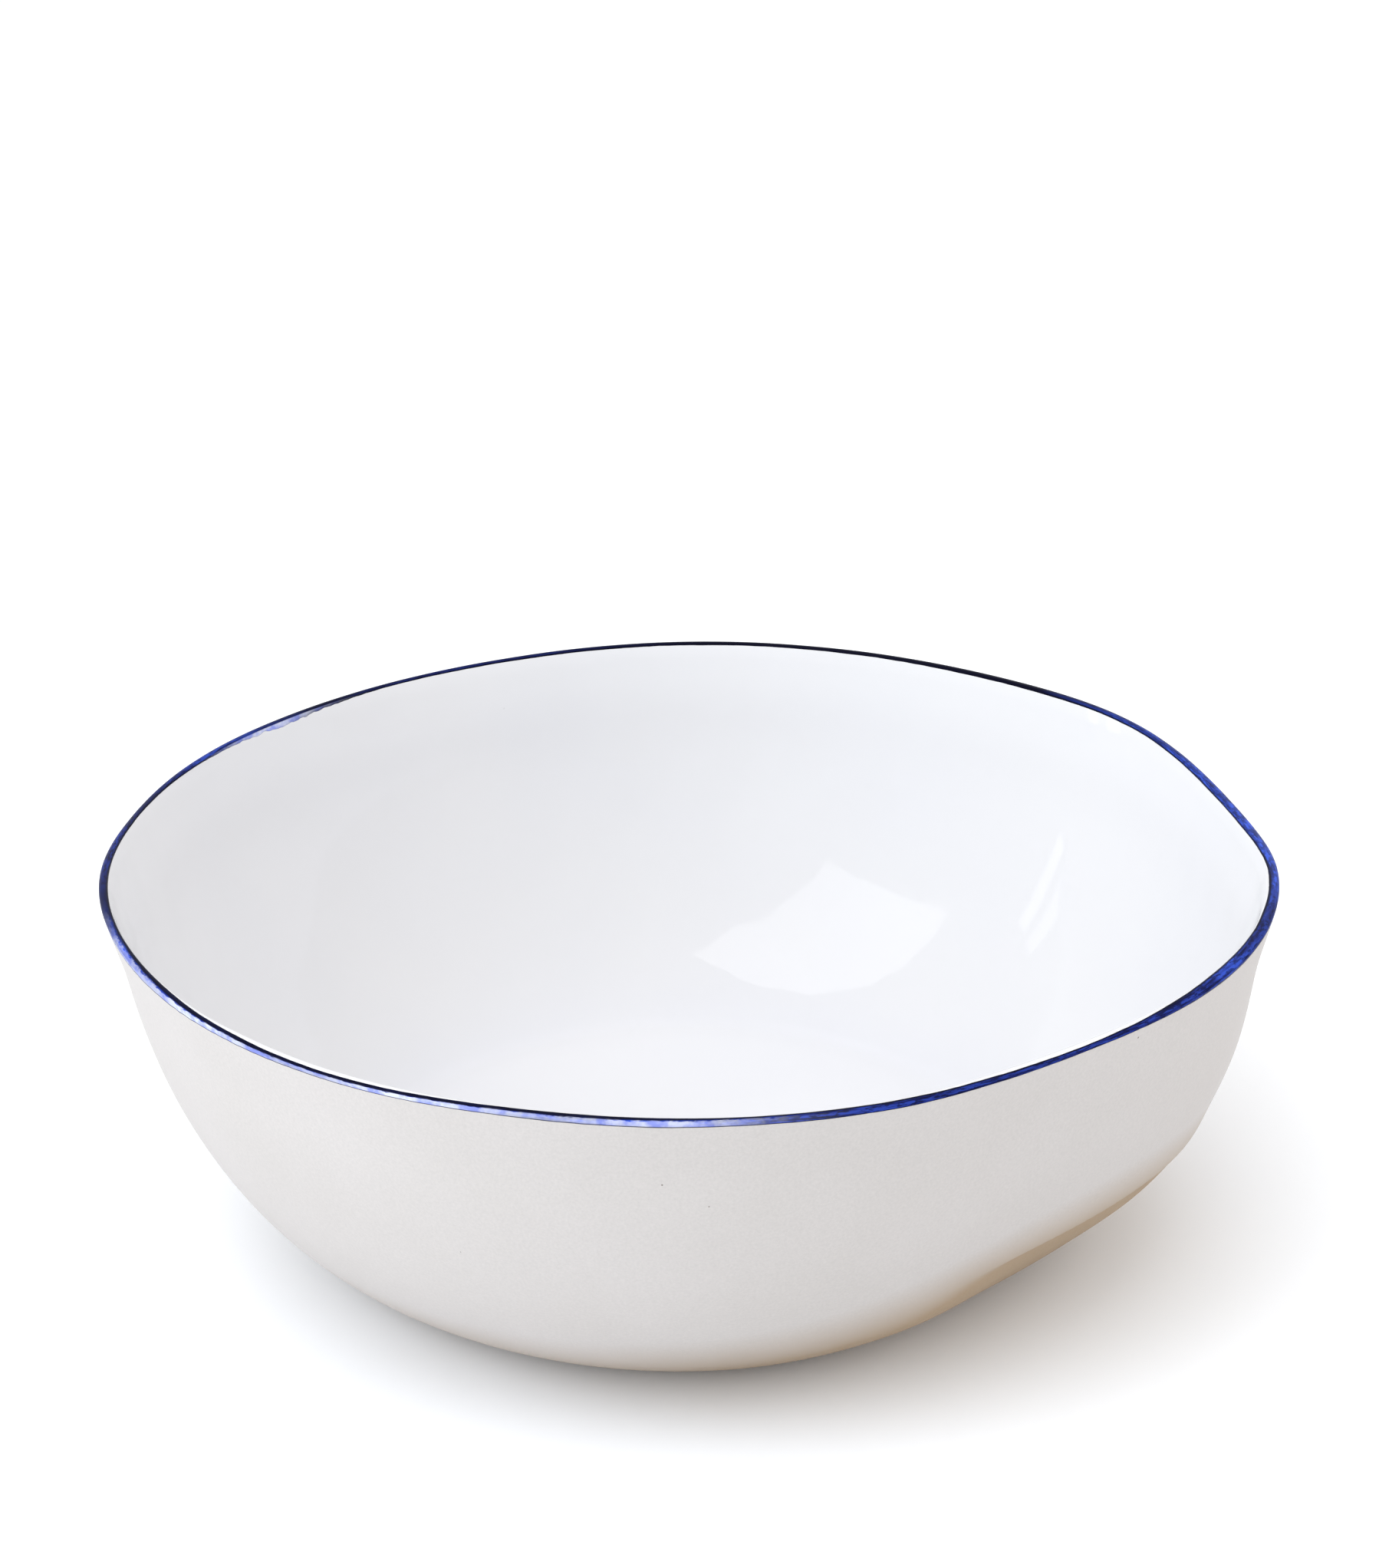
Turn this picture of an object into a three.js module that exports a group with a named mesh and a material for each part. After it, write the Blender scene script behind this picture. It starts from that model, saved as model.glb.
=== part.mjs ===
// A hand-formed porcelain serving bowl: a matte biscuit shell, a clear glaze lining and a painted line
// on the lip. Millimetres, +Z up. The origin is the middle of the flat base, and the front faces -Y.
import * as THREE from "three";

// Driving dimensions, in millimetres. Angles are in degrees, anticlockwise from +X seen from above.
const rimRadius = 140; // outer edge of the lip, before the unevenness of the forming
const bowlHeight = 93.5; // base to the crest of the lip
const baseRadius = 77; // flat face that the bowl rests on
const baseEase = 20; // how far the level run of the base carries into the wall
const wallRise = 62.5; // how far the direction of the lip carries down the wall
const lipFlare = 10; // degrees that the wall leans out at the lip
const lipCrown = 1; // height of the rounded top of the lip
const lipThickness = { mean: 2.5, swing: 0.5, thickestAt: -15 };
const floorThickness = 5;
const floorDish = 1; // how much lower the middle of the inner floor lies than its edge
const thinning = 1.5; // how quickly the wall thins from the floor up to the lip
const glazeThickness = 0.5;
const fitGap = 0.3; // clearance between the fired layers

// The wall is drawn in a little just under the lip, all the way round.
const neck = { level: 0.93, reach: 0.06, out: -0.9 };

// Where the soft clay was pushed. Angle and spread place a push round the bowl, level and reach place it
// up the wall (0 at the base, 1 at the lip). It moves the wall outwards by out, and raises it by lift.
const pushes = [
  { angle: 12, spread: 15, level: 1, reach: 0.7, out: -1.8, lift: -0.8 },
  { angle: 38, spread: 13, level: 1, reach: 0.7, out: 2, lift: 0 },
  { angle: 90, spread: 18, level: 1, reach: 0.7, out: 1, lift: 0 },
  { angle: 135, spread: 40, level: 1, reach: 0.7, out: -1.3, lift: -2.4 },
  { angle: 172, spread: 16, level: 1, reach: 0.7, out: -1.5, lift: -0.7 },
  { angle: 205, spread: 20, level: 1, reach: 0.7, out: 0.5, lift: -0.8 },
  { angle: 255, spread: 22, level: 1, reach: 0.7, out: 2.2, lift: 1.5 },
  { angle: 305, spread: 16, level: 1, reach: 0.7, out: -4.2, lift: -1 },
  { angle: 336, spread: 14, level: 1, reach: 0.7, out: 1.6, lift: 1 },
  { angle: 195, spread: 22, level: 0.86, reach: 0.1, out: -0.7, lift: 1.3 },
  { angle: 345, spread: 25, level: 0.6, reach: 0.25, out: 4.5, lift: 1.1 },
  { angle: 0, spread: 25, level: 0, reach: 0.5, out: -1.8, lift: 0 },
  { angle: 195, spread: 30, level: 0, reach: 0.5, out: 2.4, lift: 1 },
  { angle: 312, spread: 20, level: 0, reach: 0.5, out: -4.4, lift: 0.8 },
  { angle: 322, spread: 12, level: 0.45, reach: 0.12, out: -2.2, lift: 0 },
  { angle: 300, spread: 12, level: 0.45, reach: 0.15, out: 2.2, lift: 0 },
];

// Fineness of the faceted surfaces.
const segments = 72;
const wallSteps = 14;
const floorSteps = 3;
const crownSteps = 8;

// The outer face of an even bowl: x is the radius and y the height.
const shoulder = bowlHeight - lipCrown;
const flare = THREE.MathUtils.degToRad(lipFlare);
const wallCurve = new THREE.CubicBezierCurve(
  new THREE.Vector2(baseRadius, 0),
  new THREE.Vector2(baseRadius + baseEase, 0),
  new THREE.Vector2(rimRadius - wallRise * Math.sin(flare), shoulder - wallRise * Math.cos(flare)),
  new THREE.Vector2(rimRadius, shoulder),
);

function bump(distance, width) {
  return Math.exp(-((distance / width) ** 2));
}

function turnBetween(angle, other) {
  return THREE.MathUtils.euclideanModulo(angle - other + 180, 360) - 180;
}

function lipThicknessAt(angle) {
  const turn = THREE.MathUtils.degToRad(angle - lipThickness.thickestAt);
  return lipThickness.mean + lipThickness.swing * Math.cos(turn);
}

// Thickness of the fired wall with its glaze.
function thicknessAt(level, angle) {
  const lip = lipThicknessAt(angle);
  return lip + (floorThickness - lip) * (1 - level) ** thinning;
}

// A station is one point of a section. It lies at a level on the wall, depth in from the outer face and
// rise beyond it, along the wall. On the floor, share is its part of the way out from the middle.
function stationPoint(station, angle) {
  const { level, depth, rise = 0, share = 1 } = station;
  const on = wallCurve.getPoint(level);
  const along = wallCurve.getTangent(level);
  const inward = depth(angle);
  const up = typeof rise === "function" ? rise(angle) : rise;
  let radius = on.x - inward * along.y + up * along.x;
  radius += neck.out * bump(level - neck.level, neck.reach);
  const height = on.y + inward * along.x + up * along.y;
  let lift = 0;
  for (const push of pushes) {
    const here = bump(turnBetween(angle, push.angle), push.spread);
    radius += push.out * here * bump(level - push.level, push.reach);
    lift += push.lift * here;
  }
  return new THREE.Vector2(radius * share, height * (1 + (lift * share) / bowlHeight));
}

// Turns a closed section of stations into a body, with each vertex at its hand-formed place.
function formedBody(stations) {
  const outline = stations.map((station) => stationPoint(station, 0));
  const geometry = new THREE.LatheGeometry(outline, segments);
  const { position } = geometry.attributes;
  for (let turn = 0; turn <= segments; turn += 1) {
    const angle = (360 * turn) / segments;
    const radians = THREE.MathUtils.degToRad(angle);
    stations.forEach((station, index) => {
      const point = stationPoint(station, angle);
      const x = point.x * Math.cos(radians);
      const y = point.x * Math.sin(radians);
      position.setXYZ(turn * stations.length + index, x, y, point.y);
    });
  }
  geometry.computeVertexNormals();
  return geometry;
}

// Stations up the wall from the base to the lip, on a face that lies depthAt(level, angle) in.
function wallFace(depthAt) {
  const levels = Array.from({ length: wallSteps + 1 }, (_, step) => step / wallSteps);
  return levels.map((level) => ({ level, depth: (angle) => depthAt(level, angle) }));
}

// Stations out across the floor, from the middle to the foot of the wall, on the same kind of face.
function floorFace(depthAt) {
  const shares = Array.from({ length: floorSteps }, (_, step) => step / floorSteps);
  return shares.map((share) => ({
    level: 0,
    share,
    depth: () => depthAt(0, 0) - floorDish * (1 - share ** 2),
  }));
}

// Faces of the layers, as depths in from the outside of the bowl.
const glazeTop = (level, angle) => thicknessAt(level, angle);
const glazeUnderside = (level, angle) => thicknessAt(level, angle) - glazeThickness;
const shellInside = (level, angle) => glazeUnderside(level, angle) - fitGap;
const shellOutside = () => 0;

function porcelainBodySection() {
  return [
    { level: 0, share: 0, depth: shellOutside },
    ...wallFace(shellOutside),
    ...wallFace(shellInside).reverse(),
    ...floorFace(shellInside).reverse(),
  ];
}

function innerGlazeSection() {
  return [
    ...floorFace(glazeUnderside),
    ...wallFace(glazeUnderside),
    ...wallFace(glazeTop).reverse(),
    ...floorFace(glazeTop).reverse(),
  ];
}

// The painted crown of the lip: half an ellipse across the wall, cut level just above it.
function rimLineSection() {
  const start = Math.asin(fitGap / lipCrown);
  const stations = [];
  for (let step = 0; step <= crownSteps; step += 1) {
    const around = start + ((Math.PI - 2 * start) * step) / crownSteps;
    const across = (1 - Math.cos(around)) / 2;
    stations.push({
      level: 1,
      depth: (angle) => across * lipThicknessAt(angle),
      rise: lipCrown * Math.sin(around),
    });
  }
  return [...stations, stations[0]];
}

function addPiece(group, name, section, finish) {
  const piece = new THREE.Mesh(formedBody(section), new THREE.MeshStandardMaterial(finish));
  piece.name = name;
  group.add(piece);
}

const bowl = new THREE.Group();
addPiece(bowl, "porcelain_body", porcelainBodySection(), {
  color: 0xe0ddd8,
  roughness: 0.85,
  metalness: 0,
});
addPiece(bowl, "inner_glaze", innerGlazeSection(), {
  color: 0xf1f3f7,
  roughness: 0.08,
  metalness: 0,
});
addPiece(bowl, "rim_line", rimLineSection(), {
  color: 0x2d3c8c,
  roughness: 0.2,
  metalness: 0,
});

export default bowl;
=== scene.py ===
import math

import bpy
from mathutils import Matrix, Vector


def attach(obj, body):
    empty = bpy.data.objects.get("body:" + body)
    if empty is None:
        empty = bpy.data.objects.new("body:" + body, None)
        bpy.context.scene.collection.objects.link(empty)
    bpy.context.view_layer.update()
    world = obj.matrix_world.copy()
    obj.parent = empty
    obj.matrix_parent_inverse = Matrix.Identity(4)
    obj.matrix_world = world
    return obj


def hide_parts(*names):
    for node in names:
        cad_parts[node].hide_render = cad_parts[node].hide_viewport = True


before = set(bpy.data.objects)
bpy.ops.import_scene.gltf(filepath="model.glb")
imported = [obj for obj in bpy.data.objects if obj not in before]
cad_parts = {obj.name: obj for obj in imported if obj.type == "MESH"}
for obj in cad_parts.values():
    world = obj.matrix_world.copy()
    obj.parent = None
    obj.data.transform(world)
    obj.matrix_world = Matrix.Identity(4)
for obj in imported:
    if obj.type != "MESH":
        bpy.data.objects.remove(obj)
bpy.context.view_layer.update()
mm = 0.001

# sizes of the bowl before the unevenness, in metres and degrees
bowlForm = {
    "Rim Radius": 140 * mm,
    "Bowl Height": 93.5 * mm,
    "Base Radius": 77 * mm,
    "Base Ease": 20 * mm,
    "Wall Rise": 62.5 * mm,
    "Lip Flare": 10.0,
    "Lip Crown": 0.6 * mm,
    "Lip Thickness": 2.5 * mm,
    "Lip Swing": 0.5 * mm,
    "Lip Thickest At": -15.0,
    "Floor Thickness": 5 * mm,
    "Floor Dish": 1 * mm,
    "Thinning": 1.5,
    "Neck Depth": 0.9 * mm,
    "Neck Level": 0.93,
    "Neck Reach": 0.06,
    "Fold Depth": 2 * mm,
    "Fold Ridge": 0.7 * mm,
    "Crease Depth": 0.7 * mm,
    "Ripple": 0.35 * mm,
    "Inside Ripple": 0.3 * mm,
}

# where the soft clay was pushed: angle and spread in degrees round the bowl, level and reach up the
# wall from 0 at the base to 1 at the lip, out and lift in millimetres
fingerPushes = [
    {"angle": 12, "spread": 15, "level": 1, "reach": 0.7, "out": -1.8, "lift": -0.8},
    {"angle": 38, "spread": 13, "level": 1, "reach": 0.7, "out": 2, "lift": 0},
    {"angle": 90, "spread": 18, "level": 1, "reach": 0.7, "out": 1, "lift": 0},
    {"angle": 135, "spread": 40, "level": 1, "reach": 0.7, "out": -1.3, "lift": -2.4},
    {"angle": 172, "spread": 16, "level": 1, "reach": 0.7, "out": -1.5, "lift": -0.7},
    {"angle": 205, "spread": 20, "level": 1, "reach": 0.7, "out": 0.5, "lift": -0.8},
    {"angle": 255, "spread": 22, "level": 1, "reach": 0.7, "out": 2.2, "lift": 1.5},
    {"angle": 305, "spread": 16, "level": 1, "reach": 0.7, "out": -4.2, "lift": -1},
    {"angle": 336, "spread": 14, "level": 1, "reach": 0.7, "out": 1.6, "lift": 1},
    {"angle": 195, "spread": 22, "level": 0.86, "reach": 0.1, "out": -0.7, "lift": 1.3},
    {"angle": 345, "spread": 25, "level": 0.6, "reach": 0.25, "out": 4.5, "lift": 1.1},
    {"angle": 0, "spread": 25, "level": 0, "reach": 0.5, "out": -1.8, "lift": 0},
    {"angle": 195, "spread": 30, "level": 0, "reach": 0.5, "out": 2.4, "lift": 1},
    {"angle": 312, "spread": 20, "level": 0, "reach": 0.5, "out": -4.4, "lift": 0.8},
    {"angle": 322, "spread": 12, "level": 0.45, "reach": 0.12, "out": -2.2, "lift": 0},
    {"angle": 300, "spread": 12, "level": 0.45, "reach": 0.15, "out": 2.2, "lift": 0},
    {"angle": 334, "spread": 9, "level": 0.655, "reach": 0.035, "out": 0.6, "lift": 0},
    {"angle": 350, "spread": 12, "level": 0.78, "reach": 0.06, "out": 0.6, "lift": 0},
    {"angle": 356, "spread": 11, "level": 1, "reach": 0.07, "out": 0.85, "lift": 0},
]

# the pinched fold low on the front right: it runs up to the right, and the clay tucks in below it
clayFold = {"angle": 320, "spread": 11, "level": 0.615, "slope": 0.003, "edge": 0.018, "tuck": 0.1,
            "ridgeRise": 0.03, "ridgeReach": 0.05, "creaseDrop": 0.012, "creaseReach": 0.006}

# ripples in the wall: how many fit round it and up it, and where the outer ones fade in
ripples = {"outsideRound": 2.6, "outsideUp": 2.2, "insideRound": 5.0, "insideUp": 4.5,
           "fadeFrom": 0.1, "fadeTo": 0.45, "detail": 1.5, "roughness": 0.4}


# a value for a socket is either a number or another node's output
def feed(tree, value, socket):
    if isinstance(value, bpy.types.NodeSocket):
        tree.links.new(value, socket)
    else:
        socket.default_value = value


def calc(tree, operation, *values):
    node = tree.nodes.new("ShaderNodeMath")
    node.operation = operation
    for socket, value in zip(node.inputs, values):
        feed(tree, value, socket)
    return node.outputs[0]


def total(tree, *values):
    result = values[0]
    for value in values[1:]:
        result = calc(tree, "ADD", result, value)
    return result


def product(tree, *values):
    result = values[0]
    for value in values[1:]:
        result = calc(tree, "MULTIPLY", result, value)
    return result


def minus(tree, a, b):
    return calc(tree, "SUBTRACT", a, b)


# 0 to 1 as value goes from start to end, held outside, then carried to low and high
def spanOf(tree, value, start, end, low=0.0, high=1.0):
    node = tree.nodes.new("ShaderNodeMapRange")
    for name, given in (("Value", value), ("From Min", start), ("From Max", end),
                        ("To Min", low), ("To Max", high)):
        feed(tree, given, node.inputs[name])
    return node.outputs["Result"]


# bell curve of a distance
def bump(tree, distance, width):
    ratio = calc(tree, "DIVIDE", distance, width)
    return calc(tree, "EXPONENT", product(tree, ratio, ratio, -1.0))


# shortest turn from one angle to another, in degrees
def turnBetween(tree, angle, other):
    return calc(tree, "WRAP", minus(tree, angle, other), 180.0, -180.0)


def joined(tree, *values):
    node = tree.nodes.new("ShaderNodeCombineXYZ")
    for socket, value in zip(node.inputs, values):
        feed(tree, value, socket)
    return node.outputs[0]


def splitPlace(tree, place):
    node = tree.nodes.new("ShaderNodeSeparateXYZ")
    tree.links.new(place, node.inputs[0])
    return node.outputs


def noiseOn(tree, place, scale, detail=2.0, roughness=0.5):
    node = tree.nodes.new("ShaderNodeTexNoise")
    tree.links.new(place, node.inputs["Vector"])
    node.inputs["Scale"].default_value = scale
    node.inputs["Detail"].default_value = detail
    node.inputs["Roughness"].default_value = roughness
    return node.outputs[0]


def newTree(name, inputs, outputs):
    tree = bpy.data.node_groups.new(name, "GeometryNodeTree")
    kinds = {float: "NodeSocketFloat", int: "NodeSocketInt"}
    for label, value in inputs.items():
        kind = "NodeSocketMaterial" if value is None else kinds[type(value)]
        socket = tree.interface.new_socket(label, in_out="INPUT", socket_type=kind)
        if value is not None:
            socket.default_value = value
    for label, kind in outputs.items():
        tree.interface.new_socket(label, in_out="OUTPUT", socket_type=kind)
    given = tree.nodes.new("NodeGroupInput").outputs
    result = tree.nodes.new("NodeGroupOutput").inputs
    return tree, given, result


def useGroup(tree, group, values):
    node = tree.nodes.new("GeometryNodeGroup")
    node.node_tree = group
    for label, value in values.items():
        feed(tree, value, node.inputs[label])
    return node.outputs


def fingerPushGroup():
    inputs = {"Turn": 0.0, "At Level": 0.0, "Angle": 0.0, "Spread": 1.0, "Level": 0.0,
              "Reach": 1.0, "Out": 0.0, "Lift": 0.0}
    outputs = {"Outward": "NodeSocketFloat", "Raise": "NodeSocketFloat"}
    tree, given, result = newTree("fingerPush", inputs, outputs)
    here = bump(tree, turnBetween(tree, given["Turn"], given["Angle"]), given["Spread"])
    there = bump(tree, minus(tree, given["At Level"], given["Level"]), given["Reach"])
    tree.links.new(product(tree, given["Out"], here, there), result["Outward"])
    tree.links.new(product(tree, given["Lift"], here), result["Raise"])
    return tree


# one value and one slope of a cubic curve through four handles
def cubicCurve(tree, t, p0, p1, p2, p3):
    u = minus(tree, 1.0, t)
    place = total(
        tree,
        product(tree, u, u, u, p0),
        product(tree, 3.0, u, u, t, p1),
        product(tree, 3.0, u, t, t, p2),
        product(tree, t, t, t, p3),
    )
    slope = total(
        tree,
        product(tree, u, u, minus(tree, p1, p0)),
        product(tree, 2.0, u, t, minus(tree, p2, p1)),
        product(tree, t, t, minus(tree, p3, p2)),
    )
    return place, slope


# Places a point of the bowl. Turn is in degrees round it. Crest goes from 0 on the outer face over the
# lip to pi on the inner face, Inset is how far the point lies inside the fired surface, and Share is
# its part of the way out from the middle of the floor.
def bowlWallGroup():
    inputs = {"Turn": 0.0, "Level": 0.0, "Crest": 0.0, "Inset": 0.0, "Share": 1.0, **bowlForm}
    outputs = {"Position": "NodeSocketVector", "Folded": "NodeSocketFloat",
               "Creased": "NodeSocketFloat"}
    tree, given, result = newTree("bowlWall", inputs, outputs)
    turn, level, share = given["Turn"], given["Level"], given["Share"]
    shoulder = minus(tree, given["Bowl Height"], given["Lip Crown"])
    flare = calc(tree, "RADIANS", given["Lip Flare"])
    handleOut = product(tree, given["Wall Rise"], calc(tree, "SINE", flare))
    handleUp = product(tree, given["Wall Rise"], calc(tree, "COSINE", flare))
    handleRadius = minus(tree, given["Rim Radius"], handleOut)
    handleHeight = minus(tree, shoulder, handleUp)
    easeRadius = total(tree, given["Base Radius"], given["Base Ease"])
    radius, runOut = cubicCurve(tree, level, given["Base Radius"], easeRadius, handleRadius,
                                given["Rim Radius"])
    height, runUp = cubicCurve(tree, level, 0.0, 0.0, handleHeight, shoulder)
    run = calc(tree, "SQRT", total(tree, product(tree, runOut, runOut), product(tree, runUp, runUp)))
    alongOut = calc(tree, "DIVIDE", runOut, run)
    alongUp = calc(tree, "DIVIDE", runUp, run)

    # thickness of the fired wall, thinning from the floor to the lip
    swing = calc(tree, "COSINE", calc(tree, "RADIANS", minus(tree, turn, given["Lip Thickest At"])))
    lip = total(tree, given["Lip Thickness"], product(tree, given["Lip Swing"], swing))
    below = calc(tree, "POWER", minus(tree, 1.0, level), given["Thinning"])
    thickness = total(tree, lip, product(tree, minus(tree, given["Floor Thickness"], lip), below))
    dish = product(tree, given["Floor Dish"], minus(tree, 1.0, product(tree, share, share)))
    thickness = minus(tree, thickness, dish)

    # across the wall, and over the rounded crest of the lip
    inset = given["Inset"]
    halfway = product(tree, minus(tree, 1.0, calc(tree, "COSINE", given["Crest"])), 0.5)
    between = minus(tree, thickness, product(tree, 2.0, inset))
    depth = total(tree, inset, product(tree, between, halfway))
    rise = product(tree, minus(tree, given["Lip Crown"], inset), calc(tree, "SINE", given["Crest"]))
    radius = total(tree, radius, product(tree, depth, alongUp, -1.0), product(tree, rise, alongOut))
    height = total(tree, height, product(tree, depth, alongOut), product(tree, rise, alongUp))

    neck = bump(tree, minus(tree, level, given["Neck Level"]), given["Neck Reach"])
    shifts = [product(tree, neck, given["Neck Depth"], -1.0)]
    raises = []
    pushGroup = fingerPushGroup()
    for push in fingerPushes:
        values = {"Turn": turn, "At Level": level, "Angle": float(push["angle"]),
                  "Spread": float(push["spread"]), "Level": float(push["level"]),
                  "Reach": float(push["reach"]), "Out": push["out"] * mm, "Lift": push["lift"] * mm}
        pushed = useGroup(tree, pushGroup, values)
        shifts.append(pushed["Outward"])
        raises.append(pushed["Raise"])

    # the fold: a ridge above its line, then the clay tucks in sharply and eases out towards the base;
    # the inner face was smoothed again and only follows it softly
    fold = clayFold
    fromFold = turnBetween(tree, turn, float(fold["angle"]))
    foldLine = total(tree, fold["level"], product(tree, fromFold, fold["slope"]))
    under = minus(tree, foldLine, level)
    edge = total(tree, fold["edge"], product(tree, halfway, fold["tuck"]))
    tucked = product(tree, spanOf(tree, under, 0.0, edge),
                     bump(tree, calc(tree, "MAXIMUM", minus(tree, under, edge), 0.0), fold["tuck"]))
    strength = bump(tree, fromFold, float(fold["spread"]))
    isOuter = minus(tree, 1.0, halfway)
    ridge = bump(tree, total(tree, under, fold["ridgeRise"]), fold["ridgeReach"])
    ridge = product(tree, ridge, isOuter)
    crease = bump(tree, minus(tree, under, fold["creaseDrop"]), fold["creaseReach"])
    crease = product(tree, crease, isOuter)
    pinch = product(tree, strength, strength)
    shifts.append(product(tree, given["Fold Depth"], tucked, strength, -1.0))
    shifts.append(product(tree, given["Fold Ridge"], ridge, strength))
    shifts.append(product(tree, given["Crease Depth"], crease, pinch, -1.0))
    tree.links.new(product(tree, tucked, strength, isOuter), result["Folded"])
    tree.links.new(product(tree, crease, pinch), result["Creased"])

    # slow ripples that fingers leave, and closer ones where the inside was wiped
    radians = calc(tree, "RADIANS", turn)
    cosine, sine = calc(tree, "COSINE", radians), calc(tree, "SINE", radians)
    fade = spanOf(tree, level, ripples["fadeFrom"], ripples["fadeTo"])
    wiped = product(tree, halfway, share)
    for depth, roundIt, upIt, where in (
        (given["Ripple"], ripples["outsideRound"], ripples["outsideUp"], fade),
        (given["Inside Ripple"], ripples["insideRound"], ripples["insideUp"], wiped),
    ):
        spot = joined(tree, product(tree, cosine, roundIt), product(tree, sine, roundIt),
                      product(tree, level, upIt))
        wave = minus(tree, noiseOn(tree, spot, 1.0, ripples["detail"], ripples["roughness"]), 0.5)
        shifts.append(product(tree, wave, depth, where, 2.0))

    radius = product(tree, total(tree, radius, *shifts), share)
    lift = calc(tree, "DIVIDE", product(tree, total(tree, *raises), share), given["Bowl Height"])
    height = product(tree, height, total(tree, 1.0, lift))
    place = joined(tree, product(tree, radius, cosine), product(tree, radius, sine), height)
    tree.links.new(place, result["Position"])
    return tree


bowlWall = bowlWallGroup()


def passForm(given):
    return {label: given[label] for label in bowlForm}


def storeNumber(tree, geometry, name, value):
    node = tree.nodes.new("GeometryNodeStoreNamedAttribute")
    node.data_type = "FLOAT"
    node.domain = "POINT"
    node.inputs["Name"].default_value = name
    tree.links.new(geometry, node.inputs["Geometry"])
    tree.links.new(value, node.inputs["Value"])
    return node.outputs["Geometry"]


def setPlaces(tree, geometry, position):
    node = tree.nodes.new("GeometryNodeSetPosition")
    tree.links.new(geometry, node.inputs["Geometry"])
    tree.links.new(position, node.inputs["Position"])
    return node.outputs["Geometry"]


def finishTree(tree, geometry, material, result):
    smooth = tree.nodes.new("GeometryNodeSetShadeSmooth")
    real = tree.nodes.new("GeometryNodeRealizeInstances")
    coat = tree.nodes.new("GeometryNodeSetMaterial")
    tree.links.new(geometry, smooth.inputs["Geometry"])
    tree.links.new(smooth.outputs["Geometry"], real.inputs["Geometry"])
    tree.links.new(real.outputs["Geometry"], coat.inputs["Geometry"])
    tree.links.new(material, coat.inputs["Material"])
    tree.links.new(coat.outputs["Geometry"], result["Geometry"])


# Where each stretch of a layer ends on its way from the middle of its under side (0) over the lip to
# the middle of its upper side (1).
stretchEnds = {"outerFloor": 0.05, "belowFold": 0.17, "aboveFold": 0.42, "outerWall": 0.55, "lip": 0.64,
               "innerWall": 0.95}
foldLevels = (0.5, 0.7)  # the rings lie closest between these levels of the outer wall


# A turned layer. The ball it starts from has a closed skin: its bottom becomes the middle of the under
# side, its belly the wall, and its top the middle of the floor inside.
def turnedLayerTree(name, isLining):
    inputs = {"Segments": 512, "Rings": 160, "Material": None, "Lining": 0.4 * mm,
              "Clearance": 0.04 * mm, "Lining Edge": 0.35, **bowlForm}
    tree, given, result = newTree(name, inputs, {"Geometry": "NodeSocketGeometry"})
    ball = tree.nodes.new("GeometryNodeMeshUVSphere")
    ball.inputs["Radius"].default_value = 1.0
    tree.links.new(given["Segments"], ball.inputs["Segments"])
    tree.links.new(given["Rings"], ball.inputs["Rings"])
    position = tree.nodes.new("GeometryNodeInputPosition")
    x, y, z = splitPlace(tree, position.outputs[0])
    turn = calc(tree, "DEGREES", calc(tree, "ARCTAN2", y, x))
    clamped = calc(tree, "MINIMUM", calc(tree, "MAXIMUM", z, -1.0), 1.0)
    way = minus(tree, 1.0, calc(tree, "DIVIDE", calc(tree, "ARCCOSINE", clamped), math.pi))
    ends = stretchEnds
    share = calc(tree, "MINIMUM", spanOf(tree, way, 0.0, ends["outerFloor"]),
                 spanOf(tree, way, ends["innerWall"], 1.0, 1.0, 0.0))
    low, high = foldLevels
    climb = total(tree, spanOf(tree, way, ends["outerFloor"], ends["belowFold"], 0.0, low),
                  spanOf(tree, way, ends["belowFold"], ends["aboveFold"], 0.0, high - low),
                  spanOf(tree, way, ends["aboveFold"], ends["outerWall"], 0.0, 1.0 - high))
    level = calc(tree, "MINIMUM", climb, spanOf(tree, way, ends["lip"], ends["innerWall"], 1.0, 0.0))
    if isLining:
        turningPoint = (ends["outerWall"] + ends["lip"]) / 2
        isUnder = calc(tree, "LESS_THAN", way, turningPoint)
        crest = calc(
            tree, "MAXIMUM",
            spanOf(tree, way, ends["outerWall"], turningPoint, math.pi, given["Lining Edge"]),
            spanOf(tree, way, turningPoint, ends["lip"], given["Lining Edge"], math.pi),
        )
        halfway = product(tree, minus(tree, 1.0, calc(tree, "COSINE", crest)), 0.5)
        inset = product(tree, given["Lining"], halfway, isUnder)
    else:
        crest = spanOf(tree, way, ends["outerWall"], ends["lip"], 0.0, math.pi)
        halfway = product(tree, minus(tree, 1.0, calc(tree, "COSINE", crest)), 0.5)
        inset = product(tree, total(tree, given["Lining"], given["Clearance"]), halfway)
    placed = useGroup(tree, bowlWall, {"Turn": turn, "Level": level, "Crest": crest, "Inset": inset,
                                       "Share": share, **passForm(given)})
    stored = storeNumber(tree, ball.outputs["Mesh"], "upTheWall", level)
    stored = storeNumber(tree, stored, "overTheLip", calc(tree, "DIVIDE", crest, math.pi))
    stored = storeNumber(tree, stored, "folded", placed["Folded"])
    stored = storeNumber(tree, stored, "creased", placed["Creased"])
    moved = setPlaces(tree, stored, placed["Position"])
    finishTree(tree, moved, given["Material"], result)
    return tree


# where the brush ran down the outside as a wash, and where it spilled inwards, in degrees round the lip
paintRun = {"washTurn": 206.0, "washSpread": 24.0, "spillTurn": 141.0, "spillSpread": 8.0}

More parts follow.
